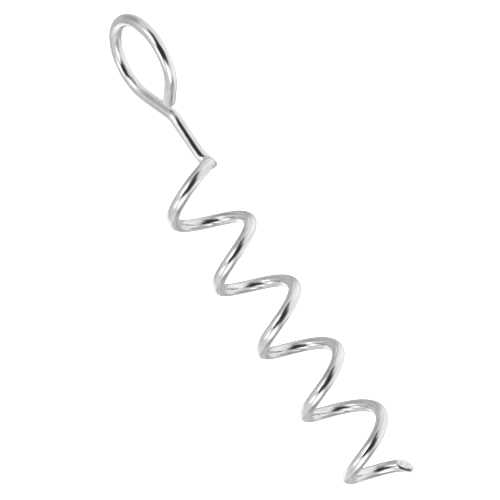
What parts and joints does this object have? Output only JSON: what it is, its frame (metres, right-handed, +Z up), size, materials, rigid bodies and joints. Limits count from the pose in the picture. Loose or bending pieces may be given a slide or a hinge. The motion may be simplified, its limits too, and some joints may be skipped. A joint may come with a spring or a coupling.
{
  "type": "corkscrew ground anchor",
  "caption": "Spiral ground anchor bent from round bar: an open eye on a straight shank over a right-hand corkscrew coil with a slanted cut point.",
  "frame": {"origin": "on the coil's axis at the ground line, level with the top of the straight shank", "axes": "+Z up along the coil's axis from the cut point to the eye, +Y along the eye's hole, +X across the eye towards its free leg"},
  "size_m": [0.0742, 0.0611, 0.4028],
  "materials": {
    "zinc_plate": "bright zinc plate on cold-drawn steel bar"
  },
  "bodies": {
    "root": {"eye_free_leg": "zinc_plate", "eye_ring": "zinc_plate", "eye_root_leg": "zinc_plate", "neck": "zinc_plate", "shank": "zinc_plate", "elbow": "zinc_plate", "coil_lead_in": "zinc_plate", "coil_turn_1": "zinc_plate", "coil_turn_2": "zinc_plate", "coil_turn_3": "zinc_plate", "coil_turn_4": "zinc_plate", "coil_point": "zinc_plate"}
  },
  "joints": []
}
